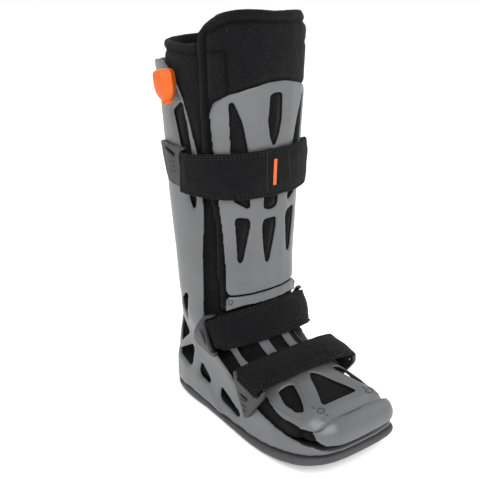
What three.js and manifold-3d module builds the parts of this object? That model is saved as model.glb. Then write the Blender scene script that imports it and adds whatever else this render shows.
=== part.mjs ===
// Medical walking boot, tall kind. Millimetres, +Z up, toe towards -Y, the bulb on the -X side.
import * as THREE from "three";
import { mergeVertices } from "three/addons/utils/BufferGeometryUtils.js";
import Module from "manifold-3d";

const wasm = await Module();
wasm.setup();

// Overall sizes
const BOOT_HEIGHT = 430;
const SOLE_LENGTH = 272;
const SOLE_WIDTH = 121;
const LEG_WIDTH = 126;
const TOE_SPRING = 19;
const OUTSOLE_THICK = 11;

// Walls and clearances
const GAP = 0.4;
const SHELL_WALL = 4;
const SHELL_FLOOR = 3;
const SHELL_INSET = 2;
const CUP_STEP = 2;
const PAD_WALL = 5;
const FLAP_WALL = 7.5;
const PANEL_WALL = 2.8;
const OUTSOLE_BEVEL = 3.2;
const STRAP_WALL = 3;
const BRACKET_WALL = 5;

// Colours
const SHELL_GREY = 0x7b7d80;
const TRIM_GREY = 0x55565a;
const CLOTH_BLACK = 0x242527;
const BULB_ORANGE = 0xf5772b;

// Tables hold percentages: up of the boot height, along of the sole length, wide of half a named width.
const up = (percent) => (percent / 100) * BOOT_HEIGHT;
const along = (percent) => (percent / 100) * SOLE_LENGTH;
const table = (columns, rows) => rows.map((row) => (
  Object.fromEntries(columns.map((name, i) => [name, row[i]]))));

const OUTLINE_COLUMNS = ["along", "up"];

// Smooth value between the rows of a table, t counted in rows.
function blend(rows, key, t) {
  const last = rows.length - 1;
  const i = Math.max(0, Math.min(Math.floor(t), last - 1));
  const f = t - i;
  const at = (k) => rows[Math.max(0, Math.min(last, k))][key];
  const slopeIn = (at(i + 1) - at(i - 1)) / 2;
  const slopeOut = (at(i + 2) - at(i)) / 2;
  const rise = at(i + 1) - at(i);
  return at(i) + f * slopeIn + f * f * (3 * rise - 2 * slopeIn - slopeOut)
    + f * f * f * (slopeIn + slopeOut - 2 * rise);
}

// Height read from a table whose rows run along the boot.
function heightAlong(rows, key, y) {
  const share = (y / SOLE_LENGTH) * 100;
  const i = Math.max(0, Math.min(rows.length - 2, rows.findIndex((row) => row.along > share) - 1));
  const a = rows[i];
  const b = rows[i + 1];
  const f = Math.max(0, Math.min(1, (share - a.along) / (b.along - a.along)));
  return a[key] + (b[key] - a[key]) * f;
}

// Share of the way in from the front middle for a rounded section, and its share of the half width.
function roundedSection(angle, frontPower, backPower, mid) {
  const c = Math.cos(angle);
  const s = Math.sin(angle);
  const power = s < 0 ? frontPower : backPower;
  const depth = Math.abs(s) ** (2 / power);
  return {
    wide: Math.sign(c) * Math.abs(c) ** (2 / power),
    deep: s < 0 ? mid * (1 - depth) : mid + (1 - mid) * depth,
  };
}

// Sections of the padded liner, from above the rim down the leg, round the heel and out to the toe.
const SECTION_COLUMNS = [
  "frontAlong", "frontUp", "backAlong", "backUp", "wide", "mid", "frontPower", "backPower",
];
const LINER = table(
  SECTION_COLUMNS,
  [
    [2.2, 101.5, 51.8, 99.0, 95.5, 0.5, 2.3, 2.3],
    [2.4, 93.2, 51.8, 91.8, 97.0, 0.5, 2.3, 2.3],
    [3.0, 81.4, 50.6, 80.4, 94.0, 0.5, 2.3, 2.4],
    [4.2, 69.8, 48.8, 69.2, 92.0, 0.5, 2.3, 2.4],
    [5.5, 55.8, 47.0, 55.4, 88.5, 0.5, 2.3, 2.4],
    [7.0, 44.2, 43.2, 43.4, 87.5, 0.5, 2.4, 2.4],
    [7.2, 34.9, 39.4, 32.6, 87.0, 0.5, 2.4, 2.4],
    [4.2, 27.4, 38.6, 23.3, 82.0, 0.5, 2.4, 2.3],
    [0.6, 23.0, 41.0, 13.9, 75.0, 0.5, 2.4, 2.3],
    [-2.2, 21.3, 42.4, 7.2, 73.0, 0.5, 2.6, 2.4],
    [-5.8, 19.9, 38.5, 3.9, 74.0, 0.55, 2.8, 2.6],
    [-11.8, 18.8, 22.0, 3.7, 76.0, 0.6, 2.9, 3.0],
    [-19.2, 17.8, 4.0, 3.2, 80.0, 0.6, 2.9, 3.2],
    [-27.4, 17.0, -11.0, 3.8, 84.5, 0.6, 3.0, 3.2],
    [-34.4, 16.2, -24.0, 4.9, 84.0, 0.6, 3.0, 3.0],
    [-39.6, 15.1, -33.0, 6.4, 78.0, 0.6, 2.7, 3.0],
    [-43.2, 13.1, -39.0, 7.5, 66.0, 0.6, 2.5, 3.0],
    [-45.6, 10.8, -43.3, 8.0, 53.0, 0.6, 2.4, 2.8],
    [-46.6, 9.4, -45.4, 8.1, 40.0, 0.6, 2.4, 2.6],
  ],
);
const LINER_RIM_ROW = 1;
const LINER_TOE_ROW = LINER.length - 1;
const LINER_STEPS = 24;
const LINER_BENDS = [5, 10];

// Rows of the liner's sections that every skin on it passes: closer together round the heel.
function linerStops(first, last) {
  const inside = [];
  const stepAt = (t) => (t >= LINER_BENDS[0] && t < LINER_BENDS[1] ? 0.5 : 1);
  for (let t = LINER_RIM_ROW; t < last; t += stepAt(t)) if (t > first) inside.push(t);
  return [first, ...inside, last];
}

// A surface through a table of sections, each lying in the plane of its front and back points.
const surfaceOf = (rows) => (angle, t) => {
  const get = (key) => blend(rows, key, t);
  const { wide, deep } = roundedSection(angle, get("frontPower"), get("backPower"), get("mid"));
  return new THREE.Vector3(
    (wide * get("wide") * LEG_WIDTH) / 200,
    along(get("frontAlong") + (get("backAlong") - get("frontAlong")) * deep),
    up(get("frontUp") + (get("backUp") - get("frontUp")) * deep),
  );
};
const linerSurface = surfaceOf(LINER);

// Plan outline of the sole from toe to heel, with the widths on the -X and +X sides.
const FOOTPRINT = table(
  ["along", "left", "right"],
  [
    [-50.0, 0, 0],
    [-49.2, 44, 70],
    [-46.6, 71, 96],
    [-42.0, 88, 105],
    [-35.0, 96, 105.5],
    [-24.0, 100, 103],
    [-13.0, 100, 101],
    [0.0, 96, 96],
    [15.0, 91, 91],
    [29.5, 89.5, 89.5],
    [41.0, 79, 79],
    [48.0, 49, 49],
    [50.0, 0, 0],
  ],
);

// Point on the plan outline, the angle running as on a rounded section.
function footprintPoint(angle, inset) {
  const turn = (((angle / Math.PI + 0.5) % 2) + 2) % 2;
  const last = FOOTPRINT.length - 1;
  const [side, key, other] = turn <= 1 ? [1, "right", "left"] : [-1, "left", "right"];
  const t = (turn <= 1 ? turn : 2 - turn) * last;
  const i = Math.min(Math.floor(t), last - 1);
  const f = t - i;
  const row = (k) => FOOTPRINT[k < 0 ? -k : k > last ? 2 * last - k : k];
  const wideAt = (k) => (k < 0 || k > last ? -row(k)[other] : row(k)[key]);
  const cubic = (at) => {
    const [p0, p1, p2, p3] = [at(i - 1), at(i), at(i + 1), at(i + 2)];
    return p1 + 0.5 * f * (p2 - p0 + f * (2 * p0 - 5 * p1 + 4 * p2 - p3 + f * (3 * (p1 - p2) + p3 - p0)));
  };
  const halfLength = SOLE_LENGTH / 2;
  const halfWidth = SOLE_WIDTH / 2;
  return new THREE.Vector2(
    (side * cubic(wideAt) * (halfWidth - inset)) / 100,
    (along(cubic((k) => row(k).along)) * (halfLength - inset)) / halfLength,
  );
}

// Sections of the rigid shell: foot is the share of the plan outline in each.
const SHELL = table(
  ["up", "frontAlong", "backAlong", "wide", "foot", "power"],
  [
    [0.0, -3.0, 45.0, 98, 1.0, 2.5],
    [5.0, -3.0, 45.0, 98, 1.0, 2.5],
    [10.0, -3.0, 45.0, 98, 1.0, 2.5],
    [15.0, -1.0, 43.5, 98, 0.85, 2.5],
    [20.0, 1.0, 42.5, 101, 0.5, 2.6],
    [25.5, 3.0, 42.0, 101, 0.15, 2.6],
    [31.2, 3.7, 42.2, 98.5, 0.0, 2.5],
    [41.0, 3.7, 44.6, 98.5, 0.0, 2.5],
    [55.6, 2.9, 50.4, 96.5, 0.0, 2.5],
    [70.0, 1.0, 52.4, 99.5, 0.0, 2.5],
    [80.5, -0.6, 54.0, 103.0, 0.0, 2.5],
    [90.5, -1.2, 59.0, 106.0, 0.0, 2.5],
  ],
);

function shellSurface(angle, t) {
  const get = (key) => blend(SHELL, key, t);
  const { wide, deep } = roundedSection(angle, get("power"), get("power"), 0.5);
  const foot = get("foot");
  const print = footprintPoint(angle, SHELL_INSET);
  const legX = (wide * get("wide") * LEG_WIDTH) / 200;
  const legY = along(get("frontAlong") + (get("backAlong") - get("frontAlong")) * deep);
  return new THREE.Vector3(
    legX + (print.x - legX) * foot,
    legY + (print.y - legY) * foot,
    up(get("up")),
  );
}

// Underside and upper rim of the outsole along its length, in percent of the toe spring and of its thickness.
const SOLE_LINE = table(
  ["along", "spring", "thick"],
  [
    [-50.5, 100, 82],
    [-44.5, 79, 95],
    [-37.0, 47, 105],
    [-28.0, 17, 105],
    [-18.5, 0, 100],
    [-7.5, 0, 82],
    [4.0, 0, 68],
    [13.0, 0, 77],
    [22.0, 0, 95],
    [30.0, 0, 100],
    [36.0, 2, 82],
    [42.5, 13, 45],
    [50.5, 34, 32],
  ],
);
const groundAt = (y) => (heightAlong(SOLE_LINE, "spring", y) / 100) * TOE_SPRING;
const soleTopAt = (y) => groundAt(y) + (heightAlong(SOLE_LINE, "thick", y) / 100) * OUTSOLE_THICK;

// Outward normal of a surface whose angle runs anticlockwise and whose rows run downwards.
function outward(surface, angle, t) {
  const step = 0.02;
  const across = surface(angle + step, t).sub(surface(angle - step, t));
  const down = surface(angle, t + step).sub(surface(angle, t - step));
  return down.cross(across).normalize();
}

const pushed = (surface, angle, t, offset) => (
  surface(angle, t).addScaledVector(outward(surface, angle, t), offset));

// A closed body from points and triangles.
function body(points, triangles) {
  const geometry = new THREE.BufferGeometry();
  const flat = points.flatMap((p) => [p.x, p.y, p.z]);
  geometry.setAttribute("position", new THREE.Float32BufferAttribute(flat, 3));
  geometry.setIndex(triangles.flat());
  return solid(geometry);
}

function solid(geometry) {
  const bare = geometry.clone();
  bare.deleteAttribute("normal");
  bare.deleteAttribute("uv");
  const merged = mergeVertices(bare, 1e-4);
  const made = new wasm.Manifold(new wasm.Mesh({
    numProp: 3,
    vertProperties: new Float32Array(merged.attributes.position.array),
    triVerts: new Uint32Array(merged.index.array),
  }));
  return made;
}

// Two triangles over the four corners between neighbouring rings, split along either diagonal.
function quad(a, b, c, d, turned) {
  return turned ? [[a, b, d], [b, c, d]] : [[a, b, c], [a, c, d]];
}

// A stack of closed rings of equal count, capped at both ends by a fan or joined end to end.
function ringBody(rings, capped) {
  const n = rings[0].length;
  const points = rings.flat();
  const triangles = [];
  const joins = capped ? rings.length - 1 : rings.length;
  for (let j = 0; j < joins; j += 1) {
    const next = (j + 1) % rings.length;
    for (let i = 0; i < n; i += 1) {
      const k = (i + 1) % n;
      triangles.push(...quad(j * n + i, next * n + i, next * n + k, j * n + k, false));
    }
  }
  if (capped) {
    const middle = (ring) => ring.reduce((sum, p) => sum.add(p), new THREE.Vector3()).divideScalar(n);
    points.push(middle(rings[0]), middle(rings[rings.length - 1]));
    const base = (rings.length - 1) * n;
    for (let i = 0; i < n; i += 1) {
      const k = (i + 1) % n;
      triangles.push([i, k, points.length - 2], [base + k, base + i, points.length - 1]);
    }
  }
  return body(points, triangles);
}

// A sheet between two offsets of a surface, over a range of angles and rows.
function sheet(surface, angles, stops, wideSteps, inner, outer) {
  const spot = (i, t, offset) => (
    pushed(surface, angles[0] + ((angles[1] - angles[0]) * i) / wideSteps, t, offset));
  const steps = Array.from({ length: wideSteps + 1 }, (_, i) => i);
  const rings = stops.map((t) => [
    ...steps.map((i) => spot(i, t, outer)),
    ...steps.toReversed().map((i) => spot(i, t, inner)),
  ]);
  return gridCapped(rings, wideSteps);
}

// Rings that fold back on themselves, closed at the ends by quads between their two runs.
// The inner run splits its quads like the outer one, so that stacked sheets keep their clearance.
function gridCapped(rings, wideSteps) {
  const n = rings[0].length;
  const triangles = [];
  for (let j = 0; j + 1 < rings.length; j += 1)
    for (let i = 0; i < n; i += 1) {
      const k = (i + 1) % n;
      const next = (j + 1) * n;
      triangles.push(...quad(j * n + i, next + i, next + k, j * n + k, i > wideSteps));
    }
  const base = (rings.length - 1) * n;
  for (let i = 0; i < wideSteps; i += 1) {
    const a = n - 1 - i;
    triangles.push([i, i + 1, a - 1], [i, a - 1, a]);
    triangles.push([base + i, base + a - 1, base + i + 1], [base + i, base + a, base + a - 1]);
  }
  return body(rings.flat(), triangles);
}

// An outline with its corners eased.
function easedShape(points, radius) {
  const shape = new THREE.Shape();
  const n = points.length;
  points.forEach((p, i) => {
    const before = points[(i + n - 1) % n];
    const after = points[(i + 1) % n];
    const cut = Math.min(radius, p.distanceTo(before) * 0.4, p.distanceTo(after) * 0.4);
    const enter = p.clone().lerp(before, cut / p.distanceTo(before));
    const leave = p.clone().lerp(after, cut / p.distanceTo(after));
    if (i === 0) shape.moveTo(enter.x, enter.y);
    else shape.lineTo(enter.x, enter.y);
    if (cut > 0) shape.quadraticCurveTo(p.x, p.y, leave.x, leave.y);
  });
  shape.closePath();
  return shape;
}

// A prism of an outline through a range of one axis.
// Side outlines hold y and z, front ones x and z, top ones x and y.
const X_AXIS = new THREE.Vector3(1, 0, 0);
const Y_AXIS = new THREE.Vector3(0, 1, 0);
const Z_AXIS = new THREE.Vector3(0, 0, 1);
const PRISM_TURN = {
  side: new THREE.Matrix4().makeBasis(Y_AXIS, Z_AXIS, X_AXIS),
  front: new THREE.Matrix4().makeBasis(X_AXIS, Z_AXIS, Y_AXIS.clone().negate()),
  top: new THREE.Matrix4(),
};
const EASE_STEPS = 2;

function prism(view, points, range, radius = 0) {
  const [low, high] = view === "front" ? [-range[1], -range[0]] : range;
  const geometry = new THREE.ExtrudeGeometry(easedShape(points, radius), {
    depth: high - low,
    bevelEnabled: false,
    curveSegments: EASE_STEPS,
  });
  geometry.translate(0, 0, low);
  geometry.applyMatrix4(PRISM_TURN[view]);
  return solid(geometry);
}

const sideOutline = (rows) => rows.map((row) => new THREE.Vector2(along(row.along), up(row.up)));
const FAR = 2 * BOOT_HEIGHT;

// Meshes
const boot = new THREE.Group();
const SURFACE = {
  shell: [SHELL_GREY, 0.5],
  trim: [TRIM_GREY, 0.55],
  cloth: [CLOTH_BLACK, 0.95],
  bulb: [BULB_ORANGE, 0.45],
};

function add(name, made, surface) {
  const mesh = made.getMesh();
  const geometry = new THREE.BufferGeometry();
  geometry.setAttribute("position", new THREE.BufferAttribute(new Float32Array(mesh.vertProperties), 3));
  geometry.setIndex(new THREE.BufferAttribute(new Uint32Array(mesh.triVerts), 1));
  const [color, roughness] = SURFACE[surface];
  const piece = new THREE.Mesh(geometry, new THREE.MeshStandardMaterial({ color, roughness, metalness: 0 }));
  piece.name = name;
  boot.add(piece);
  return made;
}

// Outsole
const SOLE_STEPS = 64;

function soleRing(inset, height) {
  const ring = [];
  for (let i = 0; i < SOLE_STEPS; i += 1) {
    const p = footprintPoint(-Math.PI / 2 + (2 * Math.PI * i) / SOLE_STEPS, inset);
    ring.push(new THREE.Vector3(p.x, p.y, height(p.y)));
  }
  return ring;
}

function outsole() {
  const bevelHeight = OUTSOLE_BEVEL * 0.8;
  const rings = [
    soleRing(0, soleTopAt),
    soleRing(0, (y) => Math.min(groundAt(y) + bevelHeight, soleTopAt(y) - GAP)),
    soleRing(OUTSOLE_BEVEL, groundAt),
  ];
  const n = SOLE_STEPS;
  const triangles = [];
  for (let j = 0; j + 1 < rings.length; j += 1)
    for (let i = 0; i < n; i += 1) {
      const k = (i + 1) % n;
      triangles.push(...quad(j * n + i, (j + 1) * n + i, (j + 1) * n + k, j * n + k, false));
    }
  const base = (rings.length - 1) * n;
  for (let i = 0; i < n / 2; i += 1) {
    const a = (n - i) % n;
    const b = n - i - 1;
    const quads = [[i, i + 1, b], [i, b, a]];
    quads.filter((t) => new Set(t).size === 3).forEach(([p, q, r]) => {
      triangles.push([p, q, r], [base + p, base + r, base + q]);
    });
  }
  return body(rings.flat(), triangles);
}
add("outsole", outsole(), "trim");

// Shell: its side outline, from the back of the top rim forward and down to the toe
const SHELL_EDGE = table(
  OUTLINE_COLUMNS,
  [
    [62.0, 86.3],
    [54.2, 86.7],
    [47.5, 87.4],
    [41.7, 88.1],
    [38.6, 88.4],
    [36.0, 88.0],
    [32.2, 86.5],
    [27.8, 83.5],
    [24.1, 80.0],
    [20.7, 74.0],
    [18.1, 68.4],
    [16.5, 60.9],
    [15.9, 54.0],
    [16.1, 42.8],
    [15.7, 31.2],
    [14.2, 26.7],
    [10.0, 19.6],
    [-1.9, 14.7],
    [-11.1, 12.2],
    [-17.8, 11.0],
    [-27.0, 9.5],
    [-34.8, 9.0],
    [-43.0, 8.6],
    [-47.4, 7.3],
    [-52.6, 6.6],
  ],
);
const SHELL_STEPS = 36;
const SHELL_TOP_ROW = SHELL.length - 1;
const SHELL_STOPS = [0, 2, 2.5, 3, 3.5, 4, 4.5, 5, 6, 7, 8, 9, 10, SHELL_TOP_ROW];
const CUP_TOP_ROW = 4;

// The lower edge of a side outline that follows the top of the outsole.
function soleEdge(lift) {
  const ends = [-SOLE_LENGTH * 0.52, SOLE_LENGTH * 0.6];
  const inside = SOLE_LINE.map((row) => along(row.along)).filter((y) => y > ends[0] && y < ends[1]);
  return [ends[0], ...inside, ends[1]].map((y) => new THREE.Vector2(y, soleTopAt(y) + lift));
}

function shellLoft(offset, lastRow = SHELL_TOP_ROW) {
  const rings = SHELL_STOPS.filter((t) => t <= lastRow).map((t) => {
    const ring = [];
    for (let i = 0; i < SHELL_STEPS; i += 1)
      ring.push(shellPoint(-Math.PI / 2 + (2 * Math.PI * i) / SHELL_STEPS, t, offset));
    return ring.reverse();
  });
  return ringBody(rings, true);
}

// The shell's surface offset level, so that rings stay flat.
function shellPoint(angle, t, offset) {
  const step = 0.02;
  const across = shellSurface(angle + step, t).sub(shellSurface(angle - step, t));
  const sideways = new THREE.Vector3(across.y, -across.x, 0).normalize();
  return shellSurface(angle, t).addScaledVector(sideways, offset);
}

// Windows of one side of the shell
const SHELL_WINDOWS = {
  slot: table(OUTLINE_COLUMNS, [
    [24.9, 79.6], [31.1, 76.6], [27.0, 68.2], [22.8, 56.5], [20.4, 52.6], [20.0, 57.0], [21.1, 68.2],
  ]),
  rearTop: table(OUTLINE_COLUMNS, [[24.6, 32.0], [28.2, 23.3], [33.8, 27.2]]),
  rearMiddle: table(OUTLINE_COLUMNS, [[29.6, 19.2], [39.5, 22.4], [39.5, 13.6]]),
  rearLow: table(OUTLINE_COLUMNS, [[26.4, 16.2], [29.0, 9.5], [42.0, 10.1]]),
  low: table(OUTLINE_COLUMNS, [[21.1, 12.6], [22.8, 9.0], [15.6, 8.1], [14.8, 9.1]]),
  front: table(OUTLINE_COLUMNS, [[7.1, 9.7], [7.7, 6.1], [-5.2, 5.0], [-6.2, 6.2]]),
};
const WINDOW_EASE = 2;
const SPINE_HALF = 24;
const CUP_LINE = table(OUTLINE_COLUMNS, [
  [62.0, 11.3], [42.5, 9.8], [28.5, 8.9], [22.0, 8.4], [14.0, 7.4], [6.0, 2.0],
]);
const CUP_FRONT = 6;

function shell() {
  const lower = soleEdge(GAP);
  const outline = [...sideOutline(SHELL_EDGE), ...lower];
  const floorLine = soleEdge(GAP + SHELL_FLOOR);
  const above = [...floorLine, new THREE.Vector2(SOLE_LENGTH, FAR), new THREE.Vector2(-SOLE_LENGTH, FAR)];
  const inside = shellLoft(-SHELL_WALL).intersect(prism("side", above, [-FAR, FAR]));
  const wall = shellLoft(0).subtract(inside).intersect(prism("side", outline, [-FAR, FAR]));
  const cupOutline = [...sideOutline(CUP_LINE), ...lower.filter((p) => p.x > along(CUP_FRONT))];
  const cup = shellLoft(CUP_STEP, CUP_TOP_ROW)
    .subtract(shellLoft(-CUP_STEP, CUP_TOP_ROW))
    .intersect(prism("side", cupOutline, [-FAR, FAR]));
  let made = wall.add(cup);
  Object.values(SHELL_WINDOWS).forEach((rows) => {
    [[-LEG_WIDTH, -SPINE_HALF], [SPINE_HALF, LEG_WIDTH]].forEach((range) => {
      made = made.subtract(prism("side", sideOutline(rows), range, WINDOW_EASE));
    });
  });
  return made;
}
add("shell", shell(), "shell");

// Liner
function linerRing(t, offset) {
  const ring = [];
  for (let i = 0; i < LINER_STEPS; i += 1)
    ring.push(pushed(linerSurface, -Math.PI / 2 + (2 * Math.PI * i) / LINER_STEPS, t, offset));
  return ring;
}

function liner() {
  const skin = (offset) => linerStops(LINER_RIM_ROW, LINER_TOE_ROW).map((t) => linerRing(t, offset));
  const hollow = skin(-PAD_WALL);
  hollow.unshift(hollow[0].map((p) => p.clone().setZ(p.z + PAD_WALL)));
  return ringBody(skin(0), true).subtract(ringBody(hollow, true));
}
add("liner", liner(), "cloth");

// Front flap: wraps the shin over the liner and stands above it
const FLAP_REACH_STEPS = 5;
const PANEL_REACH_STEPS = 4;
const FLAP_LAST_ROW = 7;
const frontAngles = (reach) => [-Math.PI / 2 - reach, -Math.PI / 2 + reach];
const linerAngles = (reachSteps) => frontAngles((2 * Math.PI * reachSteps) / LINER_STEPS);
const halfWide = (percent) => (percent / 200) * LEG_WIDTH;

// A front outline from its right half, listed from the top middle down to the bottom middle.
function mirroredOutline(rows) {
  const right = rows.map((row) => new THREE.Vector2(halfWide(row.wide), up(row.up)));
  const left = rows.filter((row) => row.wide > 0).reverse();
  return [...right, ...left.map((row) => new THREE.Vector2(-halfWide(row.wide), up(row.up)))];
}

const FLAP_OUTLINE = table(["wide", "up"], [
  [0, 99.7], [45, 100.0], [75, 99.7], [89, 98.8], [98, 97.2], [105, 94.5], [110, 91.0], [110, 44.0],
  [84, 39.5], [74, 36.0], [74, 28.6], [0, 28.6],
]);
const FLAP_REAR_EDGE = table(OUTLINE_COLUMNS, [
  [-30.0, 110.0], [12.0, 110.0], [15.0, 95.0], [15.2, 70.0], [12.8, 57.0], [11.4, 50.0], [11.4, 29.0],
  [3.6, 31.0], [-20.0, 31.9], [-30.0, 31.9],
]);

function linerPad(reachSteps, first, last, seat, wall) {
  return sheet(
    linerSurface,
    linerAngles(reachSteps),
    linerStops(first, last),
    2 * reachSteps,
    seat,
    seat + wall,
  );
}

function frontFlap() {
  const pad = linerPad(FLAP_REACH_STEPS, 0, FLAP_LAST_ROW, GAP, FLAP_WALL);
  return pad
    .intersect(prism("front", mirroredOutline(FLAP_OUTLINE), [-FAR, FAR]))
    .intersect(prism("side", sideOutline(FLAP_REAR_EDGE), [-FAR, FAR]));
}
add("front_flap", frontFlap(), "cloth");

// Shin panel and ankle plate, on the flap
const PANEL_SEAT = GAP + FLAP_WALL + GAP;
const PANEL_SEAM = 0.8;
const PANEL_EASE = 3;
const SHIN_OUTLINE = table(["wide", "up"], [
  [0, 85.2], [20, 85.0], [49, 84.0], [75, 82.7], [88, 81.0], [91.5, 78.2], [89, 73.0], [83.5, 63.0],
  [76, 50.5], [71, 40.0], [71.5, 34.8], [68, 33.6], [0, 33.6],
]);
const SHIN_WINDOWS = {
  upperSide: table(["wide", "up"], [
    [72.5, 80.6], [68, 81.0], [64, 79.5], [54, 75.6], [45.5, 69.6], [40, 62.0], [38.5, 55.4],
    [63, 57.8], [67.5, 68.0],
  ]),
  lowerSide: table(["wide", "up"], [[60, 53.5], [38, 52.9], [36.5, 51.2], [46, 42.3], [50.5, 41.7], [54, 42.6]]),
};
const SHIN_CENTRE_WINDOWS = {
  upper: table(["wide", "up"], [[0, 82.4], [11, 82.2], [12.5, 76.0], [8, 72.5], [0, 69.8]]),
  bridge: table(["wide", "up"], [[0, 60.5], [13, 60.5], [13.5, 55.2], [0, 54.6]]),
  lower: table(["wide", "up"], [[0, 52.3], [12.5, 52.2], [13, 49.6], [9, 45.5], [3.5, 41.2], [0, 40.6]]),
};
const ANKLE_OUTLINE = table(["wide", "up"], [[0, 33.4], [68, 33.4], [72, 32.6], [76, 27.0], [0, 27.0]]);
const ANKLE_LOWER_EDGE = table(OUTLINE_COLUMNS, [
  [-20.0, 31.9], [3.6, 31.0], [20.0, 25.4], [30.0, 25.4], [30.0, 40.0], [-20.0, 40.0],
]);
const sideWindow = (rows, side) => (
  rows.map((row) => new THREE.Vector2(side * halfWide(row.wide), up(row.up))));

function cutWindows(made, sideWindows, centreWindows, view, range, place) {
  let cut = made;
  Object.values(sideWindows).forEach((rows) => {
    [-1, 1].forEach((side) => {
      cut = cut.subtract(prism(view, place(rows, side), range, PANEL_EASE));
    });
  });
  Object.values(centreWindows).forEach((rows) => {
    const right = place(rows, 1);
    const left = place(rows.filter((row) => row.wide > 0).reverse(), -1);
    cut = cut.subtract(prism(view, [...right, ...left], range, PANEL_EASE));
  });
  return cut;
}

// A rivet head standing on a skin of the liner.
const RIVET_RADIUS = 3.4;
const RIVET_HEIGHT = 0.9;
const RIVET_SIDES = 12;

function rivet(turn, t, seat) {
  const angle = -Math.PI / 2 + THREE.MathUtils.degToRad(turn);
  const sunk = RIVET_HEIGHT;
  const geometry = new THREE.CylinderGeometry(
    RIVET_RADIUS * 0.8,
    RIVET_RADIUS,
    RIVET_HEIGHT + sunk,
    RIVET_SIDES,
  );
  const spot = pushed(linerSurface, angle, t, seat + (RIVET_HEIGHT - sunk) / 2);
  const turned = new THREE.Quaternion().setFromUnitVectors(Y_AXIS, outward(linerSurface, angle, t));
  geometry.applyQuaternion(turned);
  geometry.translate(spot.x, spot.y, spot.z);
  return solid(geometry);
}

function legPlate(first, last, outline, ease) {
  const plate = linerPad(PANEL_REACH_STEPS, first, last, PANEL_SEAT, PANEL_WALL);
  return plate.intersect(prism("front", mirroredOutline(outline), [-FAR, FAR], ease));
}

const shinPanel = cutWindows(
  legPlate(LINER_RIM_ROW, 6.5, SHIN_OUTLINE, PANEL_EASE),
  SHIN_WINDOWS,
  SHIN_CENTRE_WINDOWS,
  "front",
  [-FAR, FAR],
  sideWindow,
);
add("shin_panel", shinPanel, "shell");

const ANKLE_RIVETS = { turn: 41, row: 6.35 };
const anklePlate = legPlate(5.5, 7, ANKLE_OUTLINE, 0)
  .intersect(prism("side", sideOutline(ANKLE_LOWER_EDGE), [-FAR, FAR]))
  .add(rivet(ANKLE_RIVETS.turn, ANKLE_RIVETS.row, PANEL_SEAT + PANEL_WALL))
  .add(rivet(-ANKLE_RIVETS.turn, ANKLE_RIVETS.row, PANEL_SEAT + PANEL_WALL));
add("ankle_plate", anklePlate, "shell");

// Foot panel, over the instep and the toes
const FOOT_SEAT = GAP;
const FOOT_REACH_STEPS = 5;
const FOOT_EDGE = table(OUTLINE_COLUMNS, [
  [-43.0, 30.0], [-43.0, 12.4], [-41.5, 12.0], [-29.0, 12.3], [-26.8, 12.6], [-20.0, 14.0], [-14.0, 14.9],
  [-5.0, 15.8], [2.0, 17.0], [12.0, 21.0], [12.0, 27.6], [0.0, 27.6], [-8.0, 40.0],
]);
const topPoint = (rows, side) => (
  rows.map((row) => new THREE.Vector2(side * halfWide(row.wide), along(row.along))));
const FOOT_WINDOWS = {
  toe: table(["wide", "along"], [
    [43, -24.0], [67, -22.4], [74, -28.5], [73, -33.8], [64, -36.0], [53, -30.5],
  ]),
  instep: table(["wide", "along"], [[33, -14.0], [62, -14.0], [60, -4.0], [60, 20.0], [33, 20.0]]),
};
const FOOT_CENTRE_WINDOWS = {
  toe: table(["wide", "along"], [[0, -37.9], [34, -37.9], [18, -30.5], [9, -25.5], [0, -22.5]]),
  instep: table(["wide", "along"], [[0, -14.0], [13, -14.0], [13, 20.0], [0, 20.0]]),
};

const TOE_RIVETS = { turn: 33, row: 15.6 };

function footPanel() {
  const plate = linerPad(FOOT_REACH_STEPS, 7, LINER_TOE_ROW, FOOT_SEAT, PANEL_WALL);
  const trimmed = plate.intersect(prism("side", sideOutline(FOOT_EDGE), [-FAR, FAR], PANEL_EASE));
  return cutWindows(trimmed, FOOT_WINDOWS, FOOT_CENTRE_WINDOWS, "top", [-FAR, FAR], topPoint)
    .add(rivet(TOE_RIVETS.turn, TOE_RIVETS.row, FOOT_SEAT + PANEL_WALL))
    .add(rivet(-TOE_RIVETS.turn, TOE_RIVETS.row, FOOT_SEAT + PANEL_WALL));
}
add("foot_panel", footPanel(), "shell");

// Toe cap: rows step out from the panel's front edge to the plan outline of the sole
const CAP_ROWS = table(["inset", "up"], [
  [15.0, 14.0], [8.5, 13.1], [3.0, 11.5], [0.8, 9.7], [1.4, 7.9],
]);
const CAP_STEPS = 22;
const CAP_EDGE = table(OUTLINE_COLUMNS, [
  [-60.0, 20.0], [-43.4, 20.0], [-43.4, 12.2], [-41.2, 11.8], [-43.5, 10.0], [-46.2, 8.3], [-60.0, 7.9],
]);

function capSurface(angle, t) {
  const plan = footprintPoint(angle, blend(CAP_ROWS, "inset", t));
  return new THREE.Vector3(plan.x, plan.y, up(blend(CAP_ROWS, "up", t)));
}

function toeCap() {
  const stops = Array.from({ length: CAP_ROWS.length }, (_, i) => i);
  const bumper = sheet(capSurface, frontAngles(Math.PI / 3), stops, CAP_STEPS, -PANEL_WALL, 0);
  return bumper.intersect(prism("side", sideOutline(CAP_EDGE), [-FAR, FAR]));
}
add("toe_cap", toeCap(), "shell");

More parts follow.
